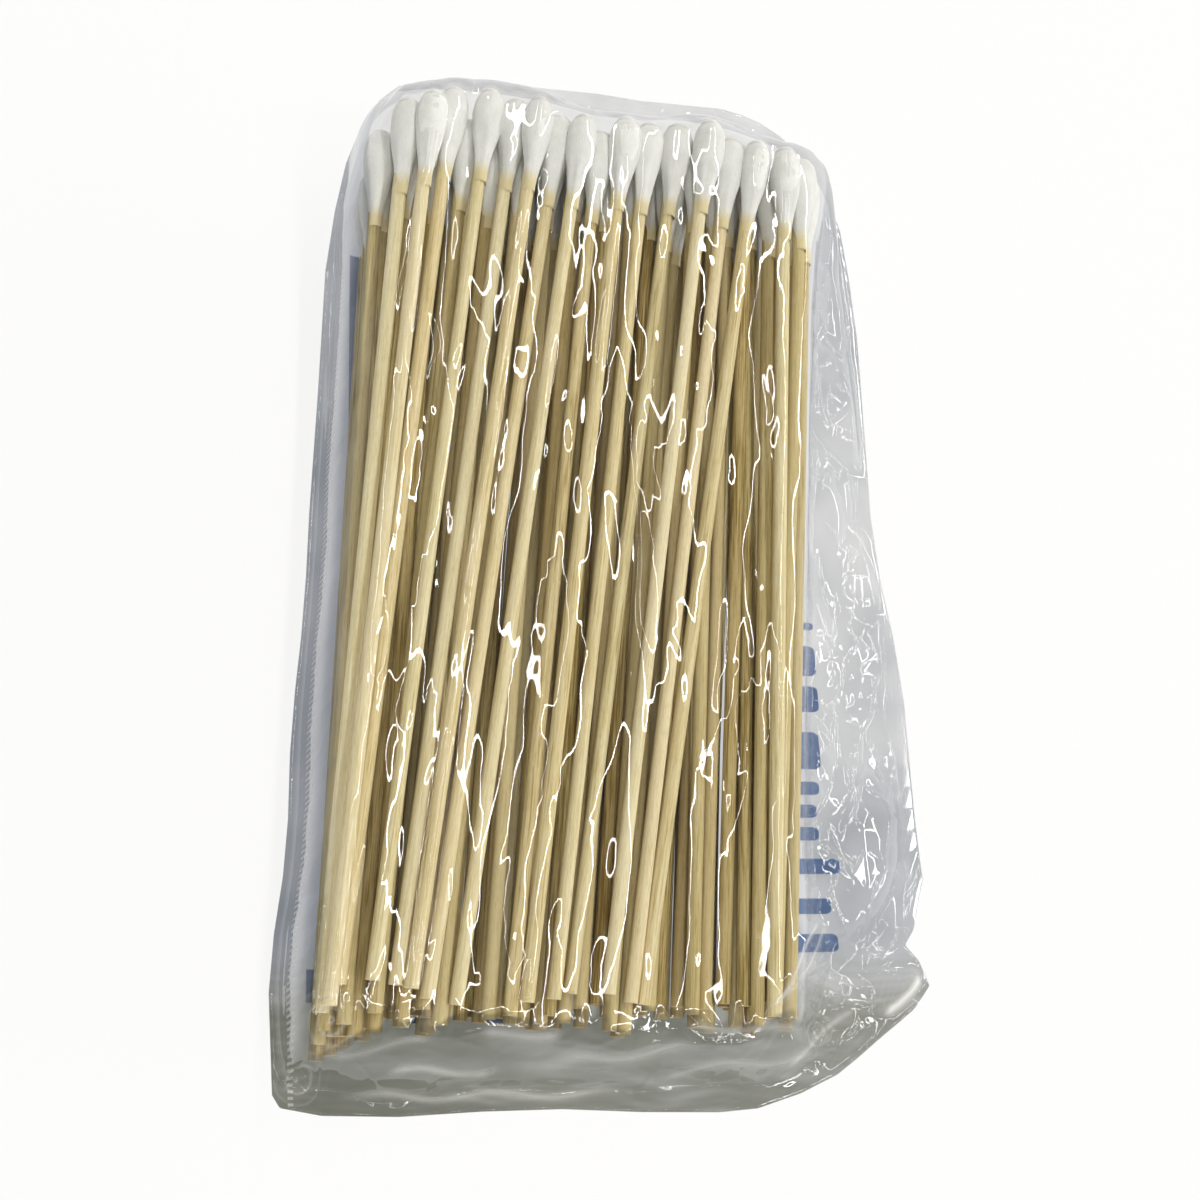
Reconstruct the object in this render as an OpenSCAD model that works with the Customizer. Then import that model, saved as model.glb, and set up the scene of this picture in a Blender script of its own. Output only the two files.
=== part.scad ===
// Clear sealed bag of long wooden cotton swabs.
// Frame: +X right across the swabs, +Y along them with the cotton tips at +Y, +Z up, underside at z = 0, millimetres.

/* [Swab] */
// Whole length of a swab, mm
swab_length = 152.4; // [120:0.1:180]
// Nominal stick diameter, mm
stick_d = 2.3; // [1.8:0.05:3]
// Nominal widest diameter of the cotton, mm
tip_d = 4.5; // [4:0.05:5.2]
// Length of the cotton, mm
tip_length = 15.5; // [12:0.5:20]
// Distance from the end of the cotton to its widest place, mm
tip_belly = 5; // [3:0.5:7]
// Cotton left beyond the end of the stick, mm
tip_cap = 1.4; // [0.8:0.1:2.5]
// Cotton thickness where it thins out on the stick, mm
tip_lip = 0.22; // [0.1:0.02:0.4]

/* [Pile] */
// Swabs in each row, the lowest row first
row_counts = [17, 17, 17, 17, 16, 16];
// Leftmost tip centre of each row, mm
row_left = [-38.6, -39, -39.3, -39.3, -38.4, -35];
// Rightmost tip centre of each row, mm
row_right = [38.6, 39, 39.3, 39.3, 38.4, 35];
// Shift of the lower rows against each other, as a share of the pitch
row_shift = 0.25; // [0:0.05:0.5]
// Sideways steps that a lower swab's tip may roll into a hollow, mm
tip_rolls = [0, 0.3, -0.3, 0.6, -0.6, 1, -1, 1.5, -1.5];
// The same for the top row, mm
tip_rolls_top = [0, 0.3, -0.3, 0.6, -0.6];
// Sideways steps of a lower swab's cut end, mm
end_rolls = [0, 0.7, -0.7, 1.4, -1.4, 2.1, -2.1, 2.8, -2.8, 3.6, -3.6];
// The same for the top row, mm
end_rolls_top = [0, 0.6, -0.6, 1.2, -1.2, 1.8, -1.8];
// Furthest a tip's centre may lie to either side, mm
tip_limit = 39.6; // [36:0.1:42]
// Leftmost place of a cut end's centre, mm
end_left = -47.6; // [-50:0.1:-40]
// Rightmost place of a cut end's centre, mm
end_right = 27.6; // [20:0.1:40]
// Tip centres of the top row across the bag, mm
top_x = [-35.2, -31.1, -26.5, -21.4, -16.7, -12.6, -8.4, -4.9, -0.8, 3.2, 7.8, 13.2, 18.5, 23.7, 27.6, 32.9];
// Ends of the top row's tips along Y, mm
top_y = [74.4, 74.8, 77.9, 78.1, 77.4, 76.4, 75, 74.0, 73.2, 74.7, 75.2, 75.8, 75.4, 74.2, 73.4, 73.0];
// Cut ends of the top row across the bag, mm
top_end_x = [-48.9, -47.2, -45.1, -42.2, -38.6, -34.8, -30.3, -25.8, -21.1, -16.8, -12.5, -7.8, -3.9, -0.2, 3.6, 21.0];
// Number that changes the random shifts
seed = 14; // [1:1:60]
// Sideways bow of the lower rows' cut ends' spacing, mm
lean_middle = -9; // [-16:0.5:0]
// Share of that bow that is used
lower_lean = 0.6; // [0:0.05:1]
// Random sideways shift of the lower sticks' cut ends, mm
lean_jitter = 2.6; // [0:0.1:8]
// Place of the lower rows' tips' line along Y at the left, mm
tip_line = 76; // [70:0.5:84]
// Retreat of the tips' line from left to right, mm
tip_fall = 3; // [0:0.5:15]
// Random shift of a swab along its length, mm
stagger = 2.8; // [0:0.1:4]
// Random difference of the cotton's diameter, mm
tip_vary = 0.16; // [0:0.05:0.5]
// Random difference of the stick's diameter, mm
stick_vary = 0.1; // [0:0.02:0.2]
// Air kept between two swabs, mm
swab_air = 0.07; // [0.03:0.01:0.2]

/* [Bag] */
// Thickness of one layer of film, mm
film_t = 0.2; // [0.1:0.05:0.4]
// Air between the lower layer of film and the swabs on it, mm
floor_air = 0.1; // [0.05:0.05:0.5]
// Air between the upper layer of film and the swabs under it, mm
film_air = 0.8; // [0.4:0.1:1.5]
// Radius at which the film bridges between swabs, mm
film_sag = 8; // [4:0.5:12]
// Distance beside a swab from which the film falls at its full slope, mm
film_bridge = 3.6; // [2.5:0.1:6]
// Slope of the film where it hangs free beside the pile
film_slope = 0.9; // [0.3:0.05:1.5]
// Height of the side welds at the tip end, mm
seam_high = 9; // [4:0.5:12]
// Height of the side welds at the cut end, mm
seam_low = 0.9; // [0.6:0.1:3]
// Width of the welded edge at the sides, mm
side_edge = 2.4; // [1:0.1:5]
// Width of the welded edge at the cut end, mm
foot_edge = 4.2; // [1:0.1:8]
// Lift of the curled corner, mm
curl = 5; // [0:0.5:8]
// Columns of the film's grid between its steep sides
middle_cols = 17; // [8:1:20]
// Rows of the film's grid between its ends
middle_rows = 34; // [16:1:40]

/* [Hidden] */
top_row = len(row_counts) - 1;
swabs_on_top = row_counts[top_row];
$fn = 28;
fit = 0.012;

function two(n) = n < 10 ? str("0", n) : str(n);
function noise(a, b) = let(s = sin(a * 127.1 + b * 311.7 + seed * 17.3) * 4375.85) (s - floor(s)) * 2 - 1;
function mixed(a, b, t) = a + (b - a) * t;
function held(v, low, high) = max(low, min(high, v));
function eased(t) = let(h = held(t, 0, 1)) h * h * (3 - 2 * h);

// Radius of the cotton at a distance from its end, for a swab with belly radius rm and stick radius rs.
function cotton(s, rm, rs) =
    s < tip_belly
        ? rm * pow(max(0, 1 - pow((tip_belly - s) / tip_belly, 2)), 0.46)
        : mixed(rm, rs + tip_lip, 0.5 - 0.5 * cos(180 * pow((s - tip_belly) / (tip_length - tip_belly), 0.9)));

// Largest radius of a swab within half a station's step of a distance from its tip.
function reach_r(s, rm, rs, half) =
    s < -half || s > swab_length + half ? 0 :
    s > tip_length + half ? rs :
    abs(s - tip_belly) <= half ? rm :
    s < tip_belly ? cotton(min(tip_belly, s + half), rm, rs) :
    cotton(max(tip_belly, min(s - half, tip_length)), rm, rs);

// Plan of swab i in row r: tip x, tip y, end x, end y, belly radius, stick radius, row, number in its row.
function plan(r, i) =
    let(
        n = row_counts[r],
        top = r == top_row,
        u = (i + (top ? 0 : r % 2 == 0 ? -row_shift : row_shift)) / (n - 1),
        key = r * 31 + i * 7 + 3,
        w = held(u, 0, 1),
        inner = (i == 0 || i == n - 1) ? 0.3 : 1,
        xt = top ? top_x[i] : mixed(row_left[r], row_right[r], u),
        xe = held(top ? top_end_x[i] : mixed(end_left, end_right, w)
            + lean_middle * lower_lean * sqrt(sin(180 * w)) + inner * lean_jitter * noise(key, 2),
            end_left, end_right),
        yt = top ? top_y[i] : tip_line - tip_fall * w - 7 * pow(1 - w, 10) + stagger * noise(key, 3)
    )
    [xt, yt, xe, yt - swab_length, tip_d / 2 + tip_vary / 2 * noise(key, 4),
        stick_d / 2 + stick_vary / 2 * noise(key, 5), r, i];

// In each row every other swab is laid first, and the ones between them after.
function row_order(n) = concat([for (i = [0:2:n - 1]) i], [for (i = [1:2:n - 1]) i]);
plans = [for (r = [0:top_row]) for (i = row_order(row_counts[r])) plan(r, i)];

// Planes across the pile at which heights are compared, closer together in the cotton.
cell_long = 4;
cell_short = 2;
stations = concat([for (y = [-82:cell_long:50]) y], [for (y = [51:cell_short:87]) y]);
halves = [for (y = stations) (y > 48 ? cell_short : cell_long) / 2 + 0.2];
last = len(stations) - 1;
tip_ks = [for (k = [0:last]) if (stations[k] > 62) k];
end_ks = [for (k = [0:2:last]) if (stations[k] < 50) k];

function x_at(p, y) = p[0] + (y - p[1]) / (p[3] - p[1]) * (p[2] - p[0]);
function moved(p, tip_by, end_by) = [p[0] + tip_by, p[1], p[2] + end_by, p[3], p[4], p[5], p[6], p[7]];

// Radius of a swab in each plane, a little larger for one that crosses the plane at a slant.
function radii(p) =
    let(slant = sqrt(1 + pow((p[2] - p[0]) / swab_length, 2)))
    [for (k = [0:last]) slant * reach_r((p[1] - stations[k]) * slant, p[4], p[5], halves[k])];

// Lowest height of an axis at plane k over the floor and the swabs laid so far.
function need_at(k, x, r, near) =
    max(concat([film_t + floor_air + r], [for (q = near)
        let(sum = r + q[3][k] + swab_air, dx = x - q[1][k])
        if (abs(dx) < sum && q[3][k] > 0) q[2][k] + sqrt(sum * sum - dx * dx)]));

function near_to(p, laid) = [for (q = laid) if (!((q[0][0] - p[0] > 7 && q[0][2] - p[2] > 8)
    || (p[0] - q[0][0] > 7 && p[2] - q[0][2] > 8))) q];

// A swab rolls sideways by the step that leaves its highest support lowest, small steps being preferred.
function lowest(costs) = let(best = min(costs)) [for (j = [0:len(costs) - 1]) if (costs[j] <= best) j][0];
function rolled(p, steps, ks, at_tip, near, rr, pull) =
    let(costs = [for (d = steps)
        let(q = at_tip ? moved(p, d, 0) : moved(p, 0, d))
        max([for (k = ks) if (rr[k] > 0) need_at(k, x_at(q, stations[k]), rr[k], near)]) + pull * abs(d)
            + (abs(q[0]) > tip_limit || q[2] < end_left || q[2] > end_right ? 50 : 0)])
    steps[lowest(costs)];

// A settled swab holds its plan, its x, z and radius at every plane, and the height and slope of its axis.
function settled(first, laid) =
    let(
        near = near_to(first, laid),
        rr = radii(first),
        top = first[6] == top_row,
        by_tip = rolled(first, top ? tip_rolls_top : tip_rolls, tip_ks, true, near, rr, 0.4),
        second = moved(first, by_tip, 0),
        by_end = rolled(second, top ? end_rolls_top : end_rolls, end_ks, false, near, rr, 0.1),
        p = moved(second, 0, by_end),
        xx = [for (y = stations) x_at(p, y)],
        need = [for (k = [0:last]) rr[k] == 0 ? -99 : need_at(k, xx[k], rr[k], near)],
        middle = p[1] - swab_length * 0.47,
        low = [for (k = [0:last]) if (need[k] > -50 && stations[k] < middle) k],
        high = [for (k = [0:last]) if (need[k] > -50 && stations[k] >= middle) k],
        pairs = [for (a = low) for (b = high)
            [(need[a] * (stations[b] - middle) + need[b] * (middle - stations[a]))
                / (stations[b] - stations[a]), a, b]],
        best = max([for (q = pairs) q[0]]),
        pick = [for (q = pairs) if (q[0] >= best - 0.000001) q][0],
        slope = (need[pick[2]] - need[pick[1]]) / (stations[pick[2]] - stations[pick[1]]),
        zt = best + slope * (p[1] - middle)
    )
    [p, xx, [for (y = stations) best + slope * (y - middle)], rr, zt, slope];

function piled(k, laid) = k == len(plans) ? laid : piled(k + 1, concat(laid, [settled(plans[k], laid)]));
pile = piled(0, []);

// Turns a swab built along -Z from its tip into its place in the pile.
module laid_along(s) {
    p = s[0];
    dx = p[2] - p[0];
    dy = p[3] - p[1];
    dz = s[5] * dy;
    flat = sqrt(dx * dx + dy * dy);
    translate([p[0], p[1], s[4]])
        rotate([0, 0, atan2(dy, dx)])
            rotate([0, 90 + atan2(-dz, flat), 0])
                children();
}

module stick_of(s) {
    laid_along(s)
        translate([0, 0, tip_cap])
            cylinder(d = 2 * s[0][5], h = swab_length - tip_cap);
}

module tip_of(s) {
    rm = s[0][4];
    rs = s[0][5];
    steps = [0.12, 0.45, 1, 1.8, 3, 5, 7, 9, 11, 13, 14.5];
    laid_along(s)
        rotate_extrude()
            polygon(concat(
                [[0, 0]],
                [for (z = steps) [cotton(z, rm, rs), z]],
                [[rs + tip_lip * 0.75, tip_length], [rs + fit, tip_length]],
                [[rs + fit, tip_cap - fit], [0, tip_cap - fit]]
            ));
}

function in_row(r) = [for (s = pile) if (s[0][6] == r) s];
function numbered(i) = [for (s = pile) if (s[0][6] == top_row && s[0][7] == i) s][0];

module row_sticks(r) {
    color([0.80, 0.70, 0.52])
        centred()
            for (s = in_row(r))
                stick_of(s);
}

module row_tips(r) {
    color([0.93, 0.93, 0.90])
        centred()
            for (s = in_row(r))
                tip_of(s);
}

module swab_stick(i) {
    color([0.82, 0.72, 0.54])
        centred()
            stick_of(numbered(i));
}

module swab_tip(i) {
    color([0.95, 0.95, 0.92])
        centred()
            tip_of(numbered(i));
}

// Outline of the film: v runs from 0 at the cut ends to 1 at the tips, u from 0 at the left to 1 at the right.
left_line = [[0, -53.7], [0.1, -54.5], [0.16, -53.9], [0.22, -52.7], [0.28, -52.1], [0.35, -52], [0.42, -51.4],
    [0.48, -50.6], [0.55, -50], [0.62, -49.7], [0.77, -48.6], [0.92, -47.7], [1, -46.2]];
right_line = [[0, 51.4], [0.03, 50.6], [0.05, 48.9], [0.07, 51], [0.105, 52.7], [0.13, 54], [0.2, 53.7], [0.35, 53.5],
    [0.43, 52.5], [0.51, 50.8], [0.59, 49.9], [0.84, 49.9], [0.925, 49.3], [1, 48.4]];
foot_line = [[0, -87.4], [0.011, -89.3], [0.07, -90.6], [0.18, -91.1], [0.3, -90.7], [0.42, -90.7], [0.54, -91.5],
    [0.66, -91.9], [0.72, -91.5], [0.79, -89.4], [0.85, -86.7], [0.88, -84.5], [0.92, -81.2], [0.97, -77.2], [1, -73.4]];
head_line = [[0, 62], [0.02, 72], [0.045, 79.1], [0.083, 86], [0.12, 89.5], [0.2, 91.5], [0.28, 92.2], [0.52, 92.2],
    [0.6, 91.6], [0.77, 91.6], [0.81, 90.8], [0.85, 89.3], [0.89, 86.8], [0.93, 83.2], [0.967, 76.5], [1, 66.9]];
function left_x(v) = lookup(v, left_line);
function right_x(v) = lookup(v, right_line);
function foot_y(u) = lookup(u, foot_line);
function head_y(u) = lookup(u, head_line);

// Height of the seam between the two layers, with the curled corner at the right of the cut end.
function corner(x, y) = max(0, exp(-(pow((x - 53) / 12, 2) + pow((y + 78) / 13, 2))) - 0.02);
function seam_z(x, y) = mixed(seam_low, seam_high, eased((y + 70) / 150)) + curl * corner(x, y);

// Lines of the film's grid: distances in from one edge, even shares between, distances in from the other edge.
side_turn = 3.8;
foot_turn = 7.5;
head_turn = 8;
head_edge = 0.4;
film_long = 183;
side_in = [0.35, 1.0, 2.1, side_turn];
head_in = [0.4, 1.2, 2.6, 5, 8];
foot_in = [1, 3, 6];
function line_of(near_in, far_in, count) = concat(
    [for (d = near_in) [0, d]],
    [for (k = [1:count]) [1, k / (count + 1)]],
    [for (k = [len(far_in) - 1:-1:0]) [2, far_in[k]]]
);
function spot(d, low, high, low_in, high_in) =
    d[0] == 0 ? low + d[1] : d[0] == 2 ? high - d[1] : mixed(low + low_in, high - high_in, d[1]);

// Heights of the swabs' envelope: the film bridges from swab to swab and falls away past the last one.
tops = [for (s = pile) if (s[0][6] >= top_row - 2) s];
function fall(d) = pow(min(d, film_bridge), 2) / (2 * film_sag) + film_slope * max(0, d - film_bridge);
function over(x, y) =
    let(hits = [for (s = tops)
        let(
            p = s[0],
            yy = held(y, p[3], p[1]),
            k = (p[1] - yy) < tip_length ? p[4] : p[5],
            dx = x - x_at(p, yy),
            dy = y < yy ? max(0, yy - y - 2.6) * 2.4 : max(0, y - p[1] + 0.6) * 2
        )
        if (abs(dx) < 26)
            s[4] + s[5] * (yy - p[1]) + k - fall(sqrt(dx * dx + dy * dy))])
    max(concat([1.2], hits)) + film_air;

// Share of the full height at a distance in from the welds, the sides being steep and the ends softer.
function rounded(t) = t <= 0 ? 0 : t >= 1 ? 1 : sqrt(1 - (1 - t) * (1 - t));
function share(da, db, dc, dd) = rounded(da / side_turn) * rounded(db / side_turn)
    * rounded(dc / foot_turn) * rounded(dd / head_turn);

// Height of a layer's surface: back is the lower layer, o is 0 outside and the film's thickness inside.
function layer_point(x, y, da, db, dc, dd, back, o) =
    let(
        z = seam_z(x, y),
        rest = 0.8 * curl * corner(x, y),
        f = share(da - o, db - o, dc - o, dd - o),
        weld = (o == 0 ? film_t : 0.03) * (1 - f)
    )
    back ? mixed(z, rest + o, f) - weld : mixed(z, max(over(x, y), z + 0.8, rest + 1.6) - o, f) + weld;

// Plan place of a grid point and its distances in from the four welds.
function placed(r, c) =
    let(
        v = r[0] == 0 ? r[1] / film_long : r[0] == 2 ? 1 - r[1] / film_long : mixed(0.05, 0.95, r[1]),
        xl = left_x(v),
        xr = right_x(v),
        x = spot(c, xl, xr, side_edge + side_turn, side_edge + side_turn),
        u = (x - xl) / (xr - xl),
        yb = foot_y(u),
        yt = head_y(u),
        foot_slope = (foot_y(u + 0.02) - foot_y(u - 0.02)) / (0.04 * (xr - xl)),
        head_slope = (head_y(u + 0.02) - head_y(u - 0.02)) / (0.04 * (xr - xl)),
        y = spot(r, yb, yt, foot_edge + foot_in[len(foot_in) - 1], head_edge + head_in[len(head_in) - 1])
    )
    [x, y, x - xl - side_edge, xr - x - side_edge,
        (y - yb - foot_edge) / sqrt(1 + foot_slope * foot_slope),
        (yt - y - head_edge) / sqrt(1 + head_slope * head_slope)];

function grid(cols, rows, back, o) =
    [for (r = rows) [for (c = cols) let(q = placed(r, c))
        [q[0], q[1], layer_point(q[0], q[1], q[2], q[3], q[4], q[5], back, o)]]];

// Distances in from the outline, those of the inside starting a film's thickness further in.
function set_in(edge, list, o) = [for (d = list) edge + d + o * (1 - d / list[len(list) - 1])];
side = concat([0], side_in);
foot = concat([0], foot_in);
head = concat([0], head_in);
out_side = concat([0], set_in(side_edge, side, 0));
in_side = set_in(side_edge, side, film_t);
out_cols = line_of(out_side, out_side, middle_cols);
out_foot = concat([0], set_in(foot_edge, foot, 0));
out_head = concat([0], set_in(head_edge, head, 0));
out_rows = line_of(out_foot, out_head, middle_rows);
in_cols = line_of(in_side, in_side, middle_cols);
in_rows = line_of(set_in(foot_edge, foot, film_t), set_in(head_edge, head, film_t), middle_rows);

// Middle of the outline, which every piece is moved by so that the origin is under the middle of the bag.
outline = [for (r = out_rows) for (c = out_cols) placed(r, c)];
middle = [for (a = [0, 1]) (min([for (q = outline) q[a]]) + max([for (q = outline) q[a]])) / 2];
module centred() {
    translate([-middle[0], -middle[1], 0])
        children();
}

function flat_list(g) = [for (row = g) for (p = row) p];

// Closed shell between an upper and a lower grid of the same size.
module shell(up, down) {
    rows = len(up);
    cols = len(up[0]);
    n = rows * cols;
    rim = concat(
        [for (c = [0:cols - 1]) c],
        [for (r = [1:rows - 1]) r * cols + cols - 1],
        [for (c = [cols - 2:-1:0]) (rows - 1) * cols + c],
        [for (r = [rows - 2:-1:1]) r * cols]
    );
    m = len(rim);
    polyhedron(
        points = concat(flat_list(up), flat_list(down)),
        faces = concat(
            [for (r = [0:rows - 2]) for (c = [0:cols - 2]) let(a = r * cols + c) [a, a + cols, a + cols + 1]],
            [for (r = [0:rows - 2]) for (c = [0:cols - 2]) let(a = r * cols + c) [a, a + cols + 1, a + 1]],
            [for (r = [0:rows - 2]) for (c = [0:cols - 2]) let(a = n + r * cols + c) [a, a + cols + 1, a + cols]],
            [for (r = [0:rows - 2]) for (c = [0:cols - 2]) let(a = n + r * cols + c) [a, a + 1, a + cols + 1]],
            [for (k = [0:m - 1]) let(a = rim[k], b = rim[(k + 1) % m]) [a, b, b + n]],
            [for (k = [0:m - 1]) let(a = rim[k], b = rim[(k + 1) % m]) [a, b + n, a + n]]
        )
    );
}

module bag_film() {
    color([0.85, 0.88, 0.92, 0.35])
        centred()
            difference() {
                shell(grid(out_cols, out_rows, false, 0), grid(out_cols, out_rows, true, 0));
                shell(grid(in_cols, in_rows, false, film_t), grid(in_cols, in_rows, true, film_t));
            }
}

bag_film();
for (r = [0:top_row - 1]) row_sticks(r);
for (r = [0:top_row - 1]) row_tips(r);
for (i = [0:swabs_on_top - 1]) swab_stick(i);
for (i = [0:swabs_on_top - 1]) swab_tip(i);
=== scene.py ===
"""Looks for the bag of cotton swabs: the clear film with its creases, the cotton, the wood and the studio."""

import math

import bpy
import numpy as np
from mathutils import Matrix, Vector
from mathutils.bvhtree import BVHTree


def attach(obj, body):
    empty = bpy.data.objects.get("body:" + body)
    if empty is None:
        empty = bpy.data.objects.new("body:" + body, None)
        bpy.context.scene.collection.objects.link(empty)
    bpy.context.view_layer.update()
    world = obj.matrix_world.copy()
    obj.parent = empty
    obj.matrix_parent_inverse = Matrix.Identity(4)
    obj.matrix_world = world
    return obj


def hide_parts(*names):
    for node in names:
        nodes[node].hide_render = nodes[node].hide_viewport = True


MM = 0.001

# Camera, fitted to the photograph: place, right, up and view directions, and focal length in pixels of 1200.
CAMERA_AT = (-64.89, -109.76, 272.51)
CAMERA_RIGHT = (0.9749, -0.0449, 0.2179)
CAMERA_UP = (-0.0344, 0.9371, 0.3473)
CAMERA_AHEAD = (0.2198, 0.3461, -0.9121)
FOCAL_PX = 1727.6
IMAGE_PX = 1200
SENSOR_MM = 36.0

# Film outline in the plan, in mm: shares along an edge and places across it, and the shift that centres them.
SHIFT_X = 0.292
SHIFT_Y = -0.172
LEFT_LINE = (
    (0, -53.7), (0.1, -54.5), (0.16, -53.9), (0.22, -52.7), (0.28, -52.1), (0.35, -52), (0.42, -51.4),
    (0.48, -50.6), (0.55, -50), (0.62, -49.7), (0.77, -48.6), (0.92, -47.7), (1, -46.2),
)
RIGHT_LINE = (
    (0, 51.4), (0.03, 50.6), (0.05, 48.9), (0.07, 51), (0.105, 52.7), (0.13, 54), (0.2, 53.7), (0.35, 53.5),
    (0.43, 52.5), (0.51, 50.8), (0.59, 49.9), (0.84, 49.9), (0.925, 49.3), (1, 48.4),
)
FOOT_LINE = (
    (0, -87.4), (0.011, -89.3), (0.07, -90.6), (0.18, -91.1), (0.3, -90.7), (0.42, -90.7), (0.54, -91.5),
    (0.66, -91.9), (0.72, -91.5), (0.79, -89.4), (0.85, -86.7), (0.88, -84.5), (0.92, -81.2), (0.97, -77.2),
    (1, -73.4),
)
HEAD_LINE = (
    (0, 62), (0.02, 72), (0.045, 79.1), (0.083, 86), (0.12, 89.5), (0.2, 91.5), (0.28, 92.2), (0.52, 92.2),
    (0.6, 91.6), (0.77, 91.6), (0.81, 90.8), (0.85, 89.3), (0.89, 86.8), (0.93, 83.2), (0.967, 76.5),
    (1, 66.9),
)

# Points of the film's grids across and along, where the front one is cut in two, and how far their lines
# crowd towards the edges.
FRONT_GRID = (330, 560)
FRONT_SPLIT = 280
BACK_GRID = (140, 240)
CROWDED = 0.35

# Rounds of smoothing that pull the film taut over the swabs, and that settle it after the shelf is made.
TAUT_ROUNDS = 90
SETTLE_ROUNDS = 14

# Gaps that the front film keeps to the swabs and to the back film, and the ink's rise over the film, in mm.
SWAB_GAP = 0.25
FILM_GAP = 0.35
INK_RISE = 0.04

# Rays that find the CAD film start at these heights, in mm, at plan places drawn in by this share.
OVER = 60
UNDER = -30
INNER = 0.999

# Height that stands for no swab under a point, and the back film's greatest height under the swabs, in mm.
NO_SWAB = -5.0
UNDER_PILE = 0.2

# Clearest the front and the back film get, as shares of light let through.
FRONT_CLEAR = 0.955
BACK_CLEAR = 0.93

# Shares of red, green and blue that loose film lets through: at its clearest, and where painted shade makes
# its tint darkest, away from the foot and at the foot.
LOOSE_CLEAR = 0.89
COOL_SHADE = np.array((0.50, 0.52, 0.55))
WARM_SHADE = np.array((0.49, 0.495, 0.465))

# Fold lines in the film: plan points from and to, height and spread, in mm.
FOLDS = (
    (34, -62, 21, -79, 0.9, 0.8),
    (-36, 75, -46, 52, 1.2, 1.5),
    (-46, -86, 10, -87.5, 0.5, 0.6),
    (-20, -83, 40, -82, 0.6, 0.8),
    (51, -70, 43, -79, 1.5, 1.1),
    (39, -50, 46, -30, 0.7, 0.6),
    (44, -58, 34, -50, 0.6, 0.5),
)

# Painted highlights: whitish streaks drawn on the film along its folds, standing in for the light that glints
# there: plan points from and to, strength and spread, in mm.
PAINTED_GLINT_LINES = (
    (-38, -85.5, -19, -85, 0.30, 0.30),
    (-24, -80.7, -10, -80.4, 0.26, 0.50),
    (-45, -88.3, 2, -88.7, 0.22, 0.30),
    (-47, -83.0, -30, -81.5, 0.16, 0.25),
    (-12, -84.5, 12, -82.5, 0.20, 0.40),
    (4, -86.5, 34, -84.0, 0.20, 0.35),
    (8, -79.8, 30, -80.8, 0.18, 0.45),
    (34, -62, 21, -79, 0.28, 0.22),
    (36, -62.5, 23.5, -78, 0.20, 0.20),
    (50.5, -71.5, 43.5, -78.5, 0.75, 0.45),
    (40, -76, 26, -86, 0.22, 0.30),
)

# Tight ring-shaped ripples near the film's foot, which the haze also marks with painted highlight rings:
# middle in the plan and reach, and from ring to ring, in mm.
SWIRLS = ((-45.8, -78.5, 4.2), (-50.1, -85.6, 3.4), (31.5, -80.5, 2.6))
SWIRL_PITCH = 1.7

# Places where the film over the swabs is most crumpled: middle in the plan, reach across and along, in mm.
BUSY = (
    (-1, 14, 11, 24),
    (-29, 28, 5, 14),
    (19, -26, 5, 22),
    (-24, -62, 14, 12),
    (4, 62, 7, 10),
    (-8, -32, 7, 14),
    (-37, -36, 6, 16),
)

# Printed blocks on the back film: left, right, low and high sides, in mm.
PRINT = (
    (37.0, 39.2, -10.8, -9.4),
    (27.0, 39.0, -19.3, -13.8),
    (27.0, 38.9, -25.9, -21.2),
    (27.0, 38.3, -36.1, -29.5),
    (27.0, 37.6, -40.6, -38.3),
    (27.0, 36.8, -44.6, -42.3),
    (27.0, 36.8, -48.5, -46.2),
    (26.0, 40.0, -54.2, -51.6),
    (26.0, 37.8, -60.9, -58.3),
    (26.0, 38.4, -67.2, -64.2),
    (-48.6, -42.0, -74.0, -69.0),
    (-34.0, -28.0, -77.4, -75.4),
    (-22.0, -15.0, -77.6, -76.2),
    (-42.6, -36.0, 22.0, 58.0),
)

# Cells of a printed block across and up, and the radius of its right corners in mm.
INK_CELLS = (24, 12)
INK_CORNER = 0.9

# Direction in which the swabs lean in the plan, as a slope of x over y.
LEAN = 0.11

# Long lamps: name, place in m, direction of their length, length and width in m, and power in W.
LAMPS = (
    ("tube_right", (0.72, 0.35, 1.5), (0, 1, 0), 2.8, 0.045, 16),
    ("tube_left", (-0.15, 0.35, 1.5), (0, 1, 0), 2.8, 0.035, 9),
    ("tube_low_right", (2.1, 0.30, 0.8), (0, 1, 0), 2.8, 0.06, 13),
    ("tube_front", (0.2, -0.75, 1.45), (1, 0, 0), 2.0, 0.025, 6),
)
LAMP_AIM = (0.0, 0.1, 0.0)
LAMP_COLOUR = (1.0, 0.985, 0.94)

# Floor: half its width and its height, a hair under the bag, in m, and how far it glows when looked at.
FLOOR_HALF = 3.0
FLOOR_Z = -0.0002
FLOOR_GLOW = 0.82

# Crimped weld along each side of the film: distance in from the side and half its width in mm, pitch in m.
WELD_IN = 2.8
WELD_HALF = 0.42
WELD_PITCH = 0.00095

# Wound cotton, in m: the most that a stick's radius can be, how far the cotton runs down the stick, the
# length of its round end, and its least thickness.
THICKEST_STICK = 0.0016
TAIL = 0.0030
ROUND_END = 0.0016
HAIR = 0.00001

# Growth of the cotton's radius over the CAD tips, as loose fluff.
FLUFF = 1.10

# Turns and rings of a tip that is seen well, and of one in a row below.
FINE_TIP = (40, 44)
PLAIN_TIP = (26, 28)


def eased(t):
    t = np.clip(t, 0, 1)
    return t * t * (3 - 2 * t)


def left_x(v):
    return SHIFT_X + np.interp(v, *zip(*LEFT_LINE))


def right_x(v):
    return SHIFT_X + np.interp(v, *zip(*RIGHT_LINE))


def foot_y(u):
    return SHIFT_Y + np.interp(u, *zip(*FOOT_LINE))


def head_y(u):
    return SHIFT_Y + np.interp(u, *zip(*HEAD_LINE))


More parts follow.
